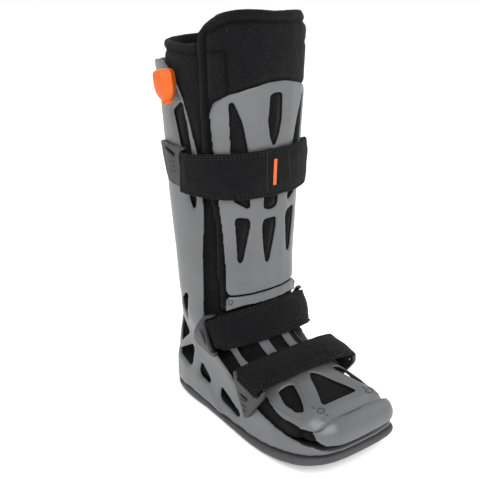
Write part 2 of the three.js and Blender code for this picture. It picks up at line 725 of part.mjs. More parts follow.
// Strap brackets on the shell: outlines seen from the side, with a slot in each
const BRACKETS = {
  calf: {
    outline: table(OUTLINE_COLUMNS, [
      [41.2, 68.8], [38.2, 68.5], [28.7, 68.8], [24.3, 69.4], [22.4, 69.1], [22.4, 68.5], [24.8, 68.3],
      [24.6, 59.1], [30.8, 59.1], [33.8, 59.5], [35.7, 60.9], [36.8, 62.8], [39.0, 66.3],
    ]),
    slot: table(OUTLINE_COLUMNS, [[36.0, 67.6], [34.9, 68.0], [28.4, 66.9], [29.0, 66.3]]),
  },
  ankle: {
    outline: table(OUTLINE_COLUMNS, [
      [20.0, 21.8], [20.4, 20.0], [17.9, 19.1], [12.9, 19.1], [9.7, 18.7], [6.2, 18.7], [4.4, 20.3],
      [5.2, 20.6], [7.8, 20.0], [12.6, 27.4], [8.8, 28.7], [8.8, 29.4], [11.8, 29.0], [15.1, 26.5],
      [17.8, 23.9],
    ]),
    slot: table(OUTLINE_COLUMNS, [[12.9, 25.4], [11.9, 25.4], [10.0, 21.6], [11.0, 21.6]]),
  },
  forefoot: {
    outline: table(OUTLINE_COLUMNS, [
      [-5.9, 18.8], [-7.2, 13.7], [-11.9, 7.6], [-14.0, 8.0], [-22.8, 15.6], [-22.8, 17.6],
      [-21.3, 17.3], [-20.2, 15.2], [-8.8, 16.9], [-7.0, 18.9],
    ]),
    slot: table(OUTLINE_COLUMNS, [[-10.0, 13.4], [-9.6, 13.9], [-14.4, 13.4], [-14.4, 12.9]]),
  },
};
const BRACKET_EASE = 5;
const bracketPlate = shellLoft(GAP + BRACKET_WALL).subtract(shellLoft(GAP));
const SIDES = { left: [-LEG_WIDTH, 0], right: [0, LEG_WIDTH] };

Object.entries(BRACKETS).forEach(([place, { outline, slot }]) => {
  Object.entries(SIDES).forEach(([side, range]) => {
    const made = bracketPlate
      .intersect(prism("side", sideOutline(outline), range, BRACKET_EASE))
      .subtract(prism("side", sideOutline(slot), range));
    add(`${place}_bracket_${side}`, made, "trim");
  });
});

// Straps: an upper and a lower section each, ending in front of their brackets
const STRAPS = {
  calf: table(SECTION_COLUMNS, [
    [-0.2, 70.0, 54.0, 65.5, 107.5, 0.5, 2.4, 2.4],
    [0.4, 58.3, 52.0, 58.3, 106.5, 0.5, 2.4, 2.4],
  ]),
  ankle: table(SECTION_COLUMNS, [
    [3.6, 30.5, 37.0, 19.3, 106, 0.5, 2.5, 2.5],
    [-3.2, 22.6, 35.0, 12.1, 101, 0.5, 2.5, 2.5],
  ]),
  forefoot: table(SECTION_COLUMNS, [
    [-9.8, 21.0, 8.0, 10.2, 106, 0.5, 2.6, 2.6],
    [-24.0, 19.2, -11.0, 7.5, 106, 0.5, 2.8, 2.8],
  ]),
  rear: table(SECTION_COLUMNS, [
    [0.8, 69.0, 53.0, 69.0, 102.4, 0.5, 2.4, 2.4],
    [1.4, 60.5, 51.5, 60.5, 101.6, 0.5, 2.4, 2.4],
  ]),
};
// What lies behind each strap's end, in the side view
const STRAP_ENDS = {
  calf: table(OUTLINE_COLUMNS, [[24.5, 90.0], [24.5, 50.0], [70.0, 50.0], [70.0, 90.0]]),
  ankle: table(OUTLINE_COLUMNS, [
    [8.3, 28.4], [11.6, 27.5], [11.8, 26.8], [7.3, 20.9], [6.4, 20.7], [5.1, 21.2], [3.8, 20.7],
    [5.0, 10.0], [60.0, 10.0], [60.0, 32.0], [8.3, 32.0],
  ]),
  forefoot: table(OUTLINE_COLUMNS, [
    [-8.4, 18.9], [-9.0, 17.2], [-20.2, 15.5], [-21.1, 17.6], [-23.2, 17.8], [-23.2, 5.0], [10.0, 5.0],
    [10.0, 18.9],
  ]),
};
const STRAP_STEPS = 18;
const STRAP_REACH = THREE.MathUtils.degToRad(88);
const strapSheet = (rows) => (
  sheet(surfaceOf(rows), frontAngles(STRAP_REACH), [0, 0.5, 1], STRAP_STEPS, 0, STRAP_WALL));
const strap = (place) => (
  strapSheet(STRAPS[place]).subtract(prism("side", sideOutline(STRAP_ENDS[place]), [-FAR, FAR])));

// The calf strap's free end, rounded, on the +X side
const FREE_END = table(OUTLINE_COLUMNS, [[-20.0, 71.0], [13.5, 68.8], [14.5, 57.6], [-20.0, 56.0]]);
const FREE_END_EASE = 9;
const FREE_END_FROM = 40;
const STRAP_ZONE = table(OUTLINE_COLUMNS, [[-60.0, 90.0], [-60.0, 40.0], [60.0, 40.0], [60.0, 90.0]]);

function calfStrap() {
  const fixed = strap("calf")
    .intersect(prism("side", sideOutline(STRAP_ZONE), [-LEG_WIDTH, FREE_END_FROM]));
  const free = strapSheet(STRAPS.calf)
    .intersect(prism("side", sideOutline(FREE_END), [FREE_END_FROM, LEG_WIDTH], FREE_END_EASE));
  return fixed.add(free);
}
add("calf_strap", calfStrap(), "cloth");
add("ankle_strap", strap("ankle"), "cloth");
add("forefoot_strap", strap("forefoot"), "cloth");

// The second strap end under the free end
const REAR_END = table(OUTLINE_COLUMNS, [
  [13.4, 68.7], [21.8, 68.1], [24.4, 67.8], [24.2, 60.6], [13.2, 60.8],
]);
const REAR_WALL = 2;

function calfStrapRear() {
  const band = sheet(surfaceOf(STRAPS.rear), frontAngles(STRAP_REACH), [0, 1], STRAP_STEPS, 0, REAR_WALL);
  return band.intersect(prism("side", sideOutline(REAR_END), [0, LEG_WIDTH], FREE_END_EASE));
}
add("calf_strap_rear", calfStrapRear(), "cloth");

// Label on the calf strap
const LABEL = { turns: [-2.6, 0.2], rows: [0.2, 0.76], wall: 0.9 };

function strapLabel() {
  const angles = LABEL.turns.map((turn) => -Math.PI / 2 + THREE.MathUtils.degToRad(turn));
  const seat = STRAP_WALL + GAP;
  return sheet(surfaceOf(STRAPS.calf), angles, LABEL.rows, 1, seat, seat + LABEL.wall);
}
add("strap_label", strapLabel(), "bulb");

// Inflation bulb on the -X upright
const BULB = { x: -74, along: 29.0, up: 82.9, halfThick: 9.6, halfWide: 12.6, height: 34, lean: -14 };
const BULB_SIDES = 16;
const BULB_PROFILE = table(["radius", "height"], [
  [0, 0], [44, 0], [50, 3], [50, 6], [44, 8], [48, 10], [52, 13], [84, 31], [98, 48], [100, 72],
  [93, 88], [74, 98], [50, 100], [0, 100],
]);

function airBulb() {
  const profile = BULB_PROFILE.map(({ radius, height }) => (
    new THREE.Vector2(radius / 100, ((height - 50) / 100) * BULB.height)));
  const geometry = new THREE.LatheGeometry(profile, BULB_SIDES);
  geometry.scale(BULB.halfThick, 1, BULB.halfWide);
  geometry.rotateX(Math.PI / 2 + THREE.MathUtils.degToRad(BULB.lean));
  geometry.translate(BULB.x, along(BULB.along), up(BULB.up));
  return solid(geometry).subtract(shellLoft(GAP));
}
add("air_bulb", airBulb(), "bulb");

// The boot stands centred over its own footprint.
const bounds = new THREE.Box3().setFromObject(boot);
const middle = bounds.getCenter(new THREE.Vector3());
boot.position.set(-middle.x, -middle.y, -bounds.min.z);

export default boot;
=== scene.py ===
"""Medical walking boot, tall kind: the visible model and its studio."""
import math

import bmesh
import bpy
import numpy as np
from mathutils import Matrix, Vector
from mathutils.bvhtree import BVHTree
from mathutils.kdtree import KDTree


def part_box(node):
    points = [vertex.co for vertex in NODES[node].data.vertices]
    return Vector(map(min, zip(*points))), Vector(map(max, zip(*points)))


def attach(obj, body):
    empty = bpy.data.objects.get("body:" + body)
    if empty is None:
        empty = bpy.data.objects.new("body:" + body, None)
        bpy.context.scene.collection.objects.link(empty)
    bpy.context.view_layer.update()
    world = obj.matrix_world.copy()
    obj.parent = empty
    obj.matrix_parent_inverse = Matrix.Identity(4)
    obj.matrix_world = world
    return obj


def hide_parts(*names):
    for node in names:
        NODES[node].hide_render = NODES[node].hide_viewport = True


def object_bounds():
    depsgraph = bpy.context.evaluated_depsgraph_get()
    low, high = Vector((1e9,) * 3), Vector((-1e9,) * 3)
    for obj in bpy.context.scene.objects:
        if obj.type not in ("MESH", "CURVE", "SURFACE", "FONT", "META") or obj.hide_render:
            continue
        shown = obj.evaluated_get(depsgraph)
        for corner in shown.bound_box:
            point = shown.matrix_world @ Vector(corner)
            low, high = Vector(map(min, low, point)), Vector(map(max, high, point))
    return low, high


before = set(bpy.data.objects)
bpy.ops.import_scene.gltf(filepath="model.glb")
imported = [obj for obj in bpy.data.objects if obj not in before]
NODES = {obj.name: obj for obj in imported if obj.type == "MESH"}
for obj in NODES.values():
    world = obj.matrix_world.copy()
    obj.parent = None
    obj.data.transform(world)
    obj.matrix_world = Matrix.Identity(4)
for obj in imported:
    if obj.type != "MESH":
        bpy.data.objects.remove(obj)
cad_low, cad_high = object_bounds()
scene = bpy.context.scene

# ---- Camera, at the photograph's angle ----
IMAGE_SIZE = (480, 479)
FOCAL_PIXELS = 880
CAMERA_TURN, CAMERA_RISE, CAMERA_DISTANCE = -37.5, 21.0, 0.8976
CAMERA_TARGET = Vector((-0.02027, 0.01044, 0.2036))
SENSOR = 36.0
CLIP_RANGE = (0.01, 50)


def make_camera():
    """The camera on its turn and rise about the target, turned to look at it."""
    turn, rise = math.radians(CAMERA_TURN), math.radians(CAMERA_RISE)
    back = Vector((
        math.sin(turn) * math.cos(rise), -math.cos(turn) * math.cos(rise), math.sin(rise)))
    data = bpy.data.cameras.new("photo_camera")
    data.sensor_width = SENSOR
    data.lens = FOCAL_PIXELS * SENSOR / IMAGE_SIZE[0]
    data.clip_start, data.clip_end = CLIP_RANGE
    camera = bpy.data.objects.new("photo_camera", data)
    scene.collection.objects.link(camera)
    camera.location = CAMERA_TARGET + back * CAMERA_DISTANCE
    camera.rotation_euler = (-back).to_track_quat("-Z", "Y").to_euler()
    scene.camera = camera


make_camera()


# ---- Materials: values and sockets as Python expressions ----
class Signal:
    """An output socket that takes part in sums and products."""

    def __init__(self, recipe, socket):
        self.recipe, self.socket = recipe, socket

    def math(self, operation, *values):
        return self.recipe.node("ShaderNodeMath", {"operation": operation}, dict(enumerate(values)))

    def __add__(self, other):
        return self.math("ADD", self, other)

    def __radd__(self, other):
        return self.math("ADD", other, self)

    def __sub__(self, other):
        return self.math("SUBTRACT", self, other)

    def __mul__(self, other):
        return self.math("MULTIPLY", self, other)

    def ramp(self, low, high):
        """0 below low, 1 above high, smooth between."""
        return self.recipe.node(
            "ShaderNodeMapRange", {"interpolation_type": "SMOOTHSTEP"},
            {"Value": self, "From Min": low, "From Max": high}, "Result")


MIX_FACTOR, MIX_FIRST, MIX_SECOND, MIX_RESULT = 0, 6, 7, 2


class Recipe:
    """A node material under construction."""

    def __init__(self, name):
        self.material = bpy.data.materials.new(name)
        self.material.use_nodes = True
        self.tree = self.material.node_tree
        self.shader = self.tree.nodes["Principled BSDF"]

    def put(self, socket, value):
        if isinstance(value, Signal):
            self.tree.links.new(value.socket, socket)
        else:
            socket.default_value = value

    def node(self, kind, settings=None, sockets=None, output=0):
        made = self.tree.nodes.new(kind)
        for name, value in (settings or {}).items():
            setattr(made, name, value)
        for name, value in (sockets or {}).items():
            self.put(made.inputs[name], value)
        return Signal(self, made.outputs[output])

    def place(self):
        return self.node("ShaderNodeTexCoord", output="Object")

    def stretched(self, factors):
        return self.node(
            "ShaderNodeVectorMath", {"operation": "MULTIPLY"}, {0: self.place(), 1: factors})

    def noise(self, scale, detail=2.0, roughness=0.5, factors=(1, 1, 1)):
        return self.node("ShaderNodeTexNoise", {}, {
            "Vector": self.stretched(factors), "Scale": scale, "Detail": detail,
            "Roughness": roughness}, "Fac")

    def cells(self, scale):
        return self.node(
            "ShaderNodeTexVoronoi", {}, {"Vector": self.place(), "Scale": scale}, "Distance")

    def edges(self, low, high):
        """1 on convex edges and 0 elsewhere."""
        point = self.node("ShaderNodeNewGeometry", output="Pointiness")
        return point.ramp(low, high)

    def colour(self, factor, first, second):
        def full(value):
            return value if isinstance(value, Signal) else (*value, 1.0)
        return self.node(
            "ShaderNodeMix", {"data_type": "RGBA"},
            {MIX_FACTOR: factor, MIX_FIRST: full(first), MIX_SECOND: full(second)}, MIX_RESULT)

    def bump(self, height, distance, strength, under=None):
        sockets = {"Height": height, "Distance": distance, "Strength": strength}
        if under is not None:
            sockets["Normal"] = under
        return self.node("ShaderNodeBump", {}, sockets, "Normal")

    def finish(self, **values):
        for name, value in values.items():
            self.put(self.shader.inputs[name.replace("_", " ")], value)
        return self.material


def scaled(colour, factor):
    return tuple(value * factor for value in colour)


def moulded_plastic(name, dark, light, roughness, edge_highlight):
    """Injection-moulded plastic: fine spark-eroded grain, faint flow marks, and convex edges paled
    by a painted highlight.
    """
    r = Recipe(name)
    flow, grain, fine = r.noise(22, 3), r.noise(1500, 2), r.noise(4200, 1)
    scuffs = r.noise(90, 4, roughness=0.6, factors=(1, 1, 0.25)).ramp(0.6, 0.72)
    body = r.colour(flow.ramp(0.3, 0.7), dark, light)
    speckled = r.colour(grain.ramp(0.35, 0.75) * 0.25, body, scaled(light, 1.3))
    # painted highlight: convex edges, found by pointiness, mixed up to halfway towards a paler edge
    # colour
    highlit_edges = r.colour(r.edges(0.53, 0.62) * 0.5, speckled, edge_highlight)
    under = r.bump(grain, 0.00022, 0.5)
    return r.finish(
        Base_Color=highlit_edges,
        Roughness=roughness + flow * 0.08 + scuffs * 0.05 - grain * 0.05,
        Normal=r.bump(fine, 0.00008, 0.35, under),
    )


def rubber(name, dark, light, roughness, grain_size, shine=0.5):
    """Moulded rubber: a slow mottle, a fine grain and a little dust."""
    r = Recipe(name)
    mottle, grain = r.noise(35, 4), r.noise(grain_size, 2)
    dusty = r.noise(300, 5, 0.7).ramp(0.55, 0.8) * 0.35
    body = r.colour(mottle.ramp(0.3, 0.7), dark, light)
    return r.finish(
        Base_Color=r.colour(dusty, body, scaled(light, 1.35)),
        Roughness=roughness + mottle * 0.1,
        Normal=r.bump(grain, 0.00025, 0.45),
        Specular_IOR_Level=shine,
    )


SEAM_SHADE_VALUE = "seam"


def looped_cloth(name, dark, light, loop_size, nap, height):
    """Brushed loop cloth: small tufts, a soft nap, specks of lint and painted shade in its sewn
    grooves.
    """
    r = Recipe(name)
    tufts, pile = r.cells(loop_size), r.noise(loop_size * 0.9, 3, 0.65)
    patches, lint = r.noise(nap, 3), r.noise(loop_size * 0.45, 2, 0.6).ramp(0.66, 0.78)
    body = r.colour(pile.ramp(0.35, 0.7) * 0.7 + patches.ramp(0.35, 0.7) * 0.3, dark, light)
    deep = r.colour(tufts.ramp(0.25, 0.75) * 0.55, body, scaled(dark, 0.5))
    specked = r.colour(lint * 0.6, deep, scaled(light, 2.6))
    seam = r.node("ShaderNodeAttribute", {"attribute_name": SEAM_SHADE_VALUE}, {}, "Fac")
    # painted shade: the sewn grooves darkened almost to black by the stored seam value
    groove_shaded = r.colour(seam * 0.9, specked, scaled(dark, 0.12))
    under = r.bump(patches, 0.0012, 0.35)
    shaded = r.bump(pile - tufts * 0.6, height, 0.9, under)
    return r.finish(
        Base_Color=groove_shaded,
        Roughness=0.86 + pile * 0.12,
        Normal=shaded,
        Sheen_Weight=0.04,
        Sheen_Roughness=0.55,
        Specular_IOR_Level=0.08,
    )


def woven_tape(name, dark, light, ribs):
    """Close woven tape with fine ribs across it."""
    r = Recipe(name)
    weave = r.node("ShaderNodeTexWave", {"bands_direction": "DIAGONAL"}, {
        "Vector": r.place(), "Scale": ribs, "Distortion": 1.5, "Detail": 2}, "Fac")
    threads = r.noise(1800, 2)
    return r.finish(
        Base_Color=r.colour(weave * 0.6 + threads * 0.4, dark, light),
        Roughness=0.8 + threads * 0.12,
        Normal=r.bump(weave + threads * 0.5, 0.00025, 0.6),
    )


FINISH = {
    "shell_plastic": moulded_plastic(
        "grey_moulding", dark=(0.086, 0.088, 0.091), light=(0.106, 0.108, 0.111),
        roughness=0.37, edge_highlight=(0.22, 0.22, 0.23)),
    "trim_plastic": moulded_plastic(
        "dark_moulding", dark=(0.012, 0.012, 0.014), light=(0.020, 0.020, 0.022),
        roughness=0.48, edge_highlight=(0.07, 0.07, 0.08)),
    "sole_rubber": rubber(
        "sole_rubber_dark", dark=(0.034, 0.034, 0.037), light=(0.050, 0.050, 0.054),
        roughness=0.6, grain_size=900),
    "padding_fabric": looped_cloth(
        "padding_black", dark=(0.0035, 0.0035, 0.004), light=(0.0112, 0.0112, 0.0126),
        loop_size=620, nap=60, height=0.0007),
    "strap_webbing": looped_cloth(
        "loop_strap_black", dark=(0.004, 0.004, 0.0045), light=(0.0105, 0.0105, 0.012),
        loop_size=950, nap=110, height=0.0005),
    "bulb_rubber": rubber(
        "orange_bulb_rubber", dark=(0.55, 0.092, 0.006), light=(0.66, 0.125, 0.010),
        roughness=0.34, grain_size=1400, shine=0.28),
    "label_fabric": woven_tape(
        "orange_tape", dark=(0.55, 0.10, 0.015), light=(0.74, 0.17, 0.03), ribs=900),
    "thread": woven_tape(
        "black_thread", dark=(0.007, 0.007, 0.008), light=(0.019, 0.019, 0.021), ribs=1500),
}


# ---- Mesh helpers ----
AVERAGE_SHARE = 0.5
LAST_ROUNDS = 3
TINY = 1e-9
RIM_ANGLE = 50
RIM_SPACING = 0.0006
WELD = 1e-6
SAME_PLACE = 1e-7


def coordinates(mesh):
    flat = np.empty(len(mesh.vertices) * 3)
    mesh.vertices.foreach_get("co", flat)
    return flat.reshape(-1, 3)


def put_coordinates(mesh, points):
    mesh.vertices.foreach_set("co", np.ascontiguousarray(points, dtype=np.float64).ravel())
    mesh.update()


def normals(mesh):
    flat = np.empty(len(mesh.vertices) * 3)
    mesh.vertices.foreach_get("normal", flat)
    return flat.reshape(-1, 3)


def edge_pairs(mesh):
    flat = np.empty(len(mesh.edges) * 2, dtype=np.int64)
    mesh.edges.foreach_get("vertices", flat)
    return flat.reshape(-1, 2)


def link(name, mesh):
    piece = bpy.data.objects.new(name, mesh)
    scene.collection.objects.link(piece)
    return piece


def with_modifier(name, mesh, kind, **settings):
    """The mesh after one modifier."""
    piece = link(name, mesh)
    modifier = piece.modifiers.new(kind.lower(), kind)
    for key, value in settings.items():
        setattr(modifier, key, value)
    depsgraph = bpy.context.evaluated_depsgraph_get()
    made = bpy.data.meshes.new_from_object(piece.evaluated_get(depsgraph))
    bpy.data.objects.remove(piece)
    return made


def averaged(values, pairs):
    """Each vertex's values moved a share of the way to the mean of its neighbours' values."""
    count = len(values)
    total = np.zeros_like(values)
    for axis in range(values.shape[1]):
        total[:, axis] = (
            np.bincount(pairs[:, 0], values[pairs[:, 1], axis], count)
            + np.bincount(pairs[:, 1], values[pairs[:, 0], axis], count))
    degree = np.bincount(pairs.ravel(), minlength=count)[:, None]
    return values + (total / np.maximum(degree, 1) - values) * AVERAGE_SHARE


def remeshed(node, voxel):
    return with_modifier(
        node + "_remesh", NODES[node].data.copy(), "REMESH", mode="VOXEL", voxel_size=voxel)


def held_within(points, rest, most):
    """Points drawn back to at most a given distance from where they rest."""
    step = points - rest
    length = np.linalg.norm(step, axis=1, keepdims=True)
    return rest + step * np.minimum(1, most / np.maximum(length, TINY))


def eased(mesh, rounds, most):
    """Edges and facets rounded off by repeated averaging, no point moved further than most."""
    pairs, rest = edge_pairs(mesh), coordinates(mesh)
    points = rest
    for _ in range(rounds):
        points = averaged(points, pairs)
    points = held_within(points, rest, most)
    for _ in range(LAST_ROUNDS):
        points = averaged(points, pairs)
    put_coordinates(mesh, points)
    return mesh


def mesh_from(name, made):
    mesh = bpy.data.meshes.new(name)
    made.to_mesh(mesh)
    made.free()
    return mesh


def add_piece(name, mesh, slot, nodes=(), material=None):
    """A piece of the visual model, smooth shaded, that rides the body."""
    mesh.polygons.foreach_set("use_smooth", np.ones(len(mesh.polygons), dtype=bool))
    mesh.update()
    piece = link(name, mesh)
    mesh.materials.clear()
    mesh.materials.append(FINISH[material or slot])
    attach(piece, "root")
    if nodes:
        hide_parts(*nodes)
    return piece


def store_seam_shade(mesh, values):
    """How deep in a sewn groove each point lies, from 0 to 1, for the painted shade in the cloth's
    colour.
    """
    layer = mesh.attributes.new(SEAM_SHADE_VALUE, "FLOAT", "POINT")
    layer.data.foreach_set("value", np.clip(values, 0, 1).astype(np.float32))


def tree_of(points):
    tree = KDTree(len(points))
    for i, point in enumerate(points):
        tree.insert(point, i)
    tree.balance()
    return tree


def rim_tree(node, least=RIM_ANGLE):
    """The CAD node's edges sharper than an angle in degrees, as closely spaced points."""
    made = bmesh.new()
    made.from_mesh(NODES[node].data)
    bmesh.ops.remove_doubles(made, verts=made.verts, dist=WELD)
    found = []
    for edge in made.edges:
        if len(edge.link_faces) == 2 and edge.calc_face_angle(0) > math.radians(least):
            a, b = (vertex.co for vertex in edge.verts)
            steps = max(1, int((b - a).length / RIM_SPACING))
            found.extend(a.lerp(b, (i + 0.5) / steps) for i in range(steps))
    made.free()
    return tree_of(found)


def rim_distances(mesh, tree):
    return np.array([tree.find(p)[2] for p in coordinates(mesh)])


def hill(distance, middle, width):
    """1 at the middle and falling off to both sides."""
    return np.exp(-(((distance - middle) / width) ** 2))


def soft_step(values, low, high):
    """0 up to low, 1 from high, smooth between, also where low is the larger."""
    t = np.clip((values - low) / (high - low), 0, 1)
    return t * t * (3 - 2 * t)


WAVE_COUNT = 9
WAVE_SPREAD = (0.7, 1.5)
WAVE_PEAK = 3.2


def waves(points, size, seed):
    """Smooth wandering values between about -1 and 1, features of the given size."""
    random = np.random.default_rng(seed)
    total = np.zeros(len(points))
    for _ in range(WAVE_COUNT):
        way = random.normal(size=3)
        way /= np.linalg.norm(way)
        total += np.sin(points @ way * (2 * math.pi / size) * random.uniform(*WAVE_SPREAD)
                        + random.uniform(0, 2 * math.pi))
    return total / WAVE_PEAK


# ---- Hard mouldings ----
HARD_PIECES = {
    # piece: (CAD node, slot, voxel, rounds of averaging, furthest move)
    "shell_moulding": ("shell", "shell_plastic", 0.0018, 16, 0.0009),
    "shin_plate": ("shin_panel", "shell_plastic", 0.0008, 34, 0.0007),
    "ankle_edge_plate": ("ankle_plate", "shell_plastic", 0.0008, 14, 0.0004),
    "toe_bumper": ("toe_cap", "shell_plastic", 0.0010, 30, 0.0007),
    "rocker_outsole": ("outsole", "sole_rubber", 0.0019, 10, 0.0011),
    "foot_plate": ("foot_panel", "shell_plastic", 0.0010, 24, 0.0006),
}
SHAPED = {}
TOE_ZONE = (-0.098, -0.124)
TOE_STRETCH = (0.0075, -0.0038, -0.0006)
TOE_STRETCH_LEFT = 0.0035
TOE_SPREAD = (0.004, 0.034)
BUMPER_TRIM = 0.0055
BUMPER_TRIM_ZONE = (0.022, 0.044)


def middle_across(points):
    return (points[:, 0].min() + points[:, 0].max()) / 2


def toe_stretch(mesh):
    """The front of the foot plate spread out until it meets the bumper."""
    points = coordinates(mesh)
    front = soft_step(points[:, 1], *TOE_ZONE)
    side = points[:, 0] - middle_across(points)
    wider = np.where(side > 0, TOE_STRETCH[0], -TOE_STRETCH_LEFT)
    points[:, 0] += front * soft_step(np.abs(side), *TOE_SPREAD) * wider
    points[:, 1] += front * TOE_STRETCH[1]
    points[:, 2] += front * TOE_STRETCH[2]
    put_coordinates(mesh, averaged(points, edge_pairs(mesh)))


def bumper_trim(mesh):
    """The bumper's end on the bulb's side, drawn in beside the foot plate."""
    points = coordinates(mesh)
    inwards = soft_step(middle_across(points) - points[:, 0], *BUMPER_TRIM_ZONE)
    points[:, 0] += BUMPER_TRIM * inwards
    put_coordinates(mesh, points)


RESHAPED = {"foot_plate": toe_stretch, "toe_bumper": bumper_trim}


for piece_name, (node, slot, voxel, rounds, most) in HARD_PIECES.items():
    SHAPED[piece_name] = eased(remeshed(node, voxel), rounds, most)
    if piece_name in RESHAPED:
        RESHAPED[piece_name](SHAPED[piece_name])
    add_piece(piece_name, SHAPED[piece_name], slot, [node])

BRACKET_VOXEL = 0.0008
BRACKET_EASE = (10, 0.0009)
BRACKET_RIM_ANGLE = 35
BRACKET_BEAD = (0.0016, 0.0009)
BRACKET_BEAD_HEIGHT = 0.0004
STRAP_PLACES = ("calf", "ankle", "forefoot")


def bracket(place, side):
    """A strap loop with a low bead along its outer edges."""
    node = f"{place}_bracket_{side}"
    mesh = eased(remeshed(node, BRACKET_VOXEL), *BRACKET_EASE)
    rim = rim_distances(mesh, rim_tree(node, BRACKET_RIM_ANGLE))
    points, outward = coordinates(mesh), normals(mesh)
    outer = np.abs(outward[:, 0]) > 0.5
    raised = hill(rim, *BRACKET_BEAD) * BRACKET_BEAD_HEIGHT * outer
    put_coordinates(mesh, points + outward * raised[:, None])
    SHAPED[f"{place}_{side}"] = mesh
    add_piece(f"{place}_strap_loop_{side}", mesh, "trim_plastic", [node])


for place in STRAP_PLACES:
    for side in ("left", "right"):
        bracket(place, side)

# ---- Padding ----
NEIGHBOUR_REACH = 0.012
CLEARANCE = 0.0003
TUCK_DEPTH = 0.0008
TUCK_ROOM = (0.0010, 0.0030)
PRESSURE = 4
CLOTH_FRAMES = 20
CLOTH_QUALITY = 5
CLOTH_MASS = 0.3
CLOTH_VOXEL = 0.005
CLOTH_EASE = (2, 0.0012)
SWELL_POINTS = 4
SWELL_FROM_RIM = (0.002, 0.012)
SWELL_ROUNDS = 12
PADDING_EASE = (8, 0.0010)
PADDING_LAST_ROUNDS = 2
FLAP_BINDING = 0.0098
LINER_BINDING = 0.0105
BINDING_HEIGHT = 0.0012
SEAM_WIDTH = 0.0021
SEAM_SHADE_WIDTH = SEAM_WIDTH * 0.8
FLAP_GROOVE, LINER_GROOVE = 0.0032, 0.0030
STRIP_SEAM = 0.026
STRIP_SEAM_WIDTH = 0.0016
STRIP_SEAM_DEPTH = 0.0022
STRIP_SEAM_SHADE = 0.8
STRIP_FROM = (0.0435, 0.0455)
STRIP_TOP = 0.3965
STRIP_TOP_BLUR = 0.002
STRIP_HEIGHT, STRIP_WIDTH = 0.001, 0.006
FAR_SIDE_THINNER = 0.0024
FAR_SIDE_ACROSS = (0.032, 0.055)
FAR_SIDE_ABOVE = (0.34, 0.37)
FAR_SIDE_FACING = 0.4
WRINKLES_FROM_RIM = (0.004, 0.02)
FLAP_WRINKLE, FLAP_WRINKLE_HEIGHT = 0.05, 0.0004
LINER_WRINKLE, LINER_WRINKLE_HEIGHT = 0.045, 0.0011
CREASE_SPACING, CREASE_SLANT, CREASE_HEIGHT = 0.052, 30, 0.0011
CREASES_BELOW = (0.30, 0.36)
liner_low, liner_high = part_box("liner")
MIDDLE = (liner_low.x + liner_high.x) / 2


def neighbours(*left_out):
    """One tree over every CAD solid but those left out."""
    made = bmesh.new()
    for name, node in NODES.items():
        if name not in left_out:
            made.from_mesh(node.data)
    tree = BVHTree.FromBMesh(made)
    made.free()
    return tree


def inflated(name, mesh, most):
    """The mesh after a cloth simulation under inner pressure, no point moved further than most."""
    rest = coordinates(mesh)
    piece = link(name, mesh)
    cloth = piece.modifiers.new("cloth", "CLOTH")
    cloth.settings.use_pressure = True
    cloth.settings.uniform_pressure_force = PRESSURE
    cloth.settings.effector_weights.gravity = 0
    cloth.settings.quality = CLOTH_QUALITY
    cloth.settings.mass = CLOTH_MASS
    cloth.point_cache.frame_start, cloth.point_cache.frame_end = 1, CLOTH_FRAMES
    for number in range(1, CLOTH_FRAMES + 1):
        scene.frame_set(number)
    depsgraph = bpy.context.evaluated_depsgraph_get()
    made = bpy.data.meshes.new_from_object(piece.evaluated_get(depsgraph))
    bpy.data.objects.remove(piece)
    put_coordinates(made, held_within(coordinates(made), rest, most))
    scene.frame_set(1)
    return made


def lifted(mesh, rest, outward, lift, tree):
    """Points at rest raised along their normals, but drawn in beside a neighbouring piece."""
    room = np.array([
        (tree.find_nearest(Vector(p), NEIGHBOUR_REACH)[3] or NEIGHBOUR_REACH) for p in rest])
    most = np.maximum(room - CLEARANCE, 0) * 0.5
    tuck = TUCK_DEPTH * (1 - soft_step(room, *TUCK_ROOM))
    put_coordinates(mesh, rest + outward * (np.minimum(lift, most) - tuck)[:, None])


def swelling(node, puff, points):
    """How far the simulated cloth stands out from its rest shape, read at other points."""
    coarse = eased(remeshed(node, CLOTH_VOXEL), *CLOTH_EASE)
    rest, outward = coordinates(coarse), normals(coarse)
    puffed = inflated(node + "_cloth", coarse, puff)
    swell = ((coordinates(puffed) - rest) * outward).sum(1)
    tree = tree_of(rest)
    found = np.zeros(len(points))
    for i, point in enumerate(points):
        near = tree.find_n(point, SWELL_POINTS)
        weights = [1 / (distance + 1e-4) for _, _, distance in near]
        found[i] = sum(swell[k] * w for (_, k, _), w in zip(near, weights)) / sum(weights)
    return found


def padding(node, piece_name, voxel, puff, shaping, bend, seam_shading):
    """A padded fabric piece: remeshed, swollen as the simulated cloth is, sewn and bent."""
    mesh = eased(remeshed(node, voxel), *PADDING_EASE)
    rest, outward = coordinates(mesh), normals(mesh)
    rim = rim_distances(mesh, rim_tree(node))
    swell = swelling(node, puff, rest) * soft_step(rim, *SWELL_FROM_RIM)
    pairs = edge_pairs(mesh)
    for _ in range(SWELL_ROUNDS):
        swell = averaged(swell[:, None], pairs)[:, 0]
    lifted(mesh, rest, outward, swell + shaping(rest, outward, rim), neighbours(node))
    points = coordinates(mesh)
    points[:, 2] += bend(points)
    for _ in range(PADDING_LAST_ROUNDS):
        points = averaged(points, pairs)
    put_coordinates(mesh, points)
    store_seam_shade(mesh, seam_shading(rest, rim))
    add_piece(piece_name, mesh, "padding_fabric", [node])


def pixel_columns(points):
    """The column of the photograph where each point shows."""
    camera = scene.camera
    turn = np.array(camera.rotation_euler.to_matrix())
    local = (points - np.array(camera.location)) @ turn
    return IMAGE_SIZE[0] / 2 + FOCAL_PIXELS * local[:, 0] / -local[:, 2]


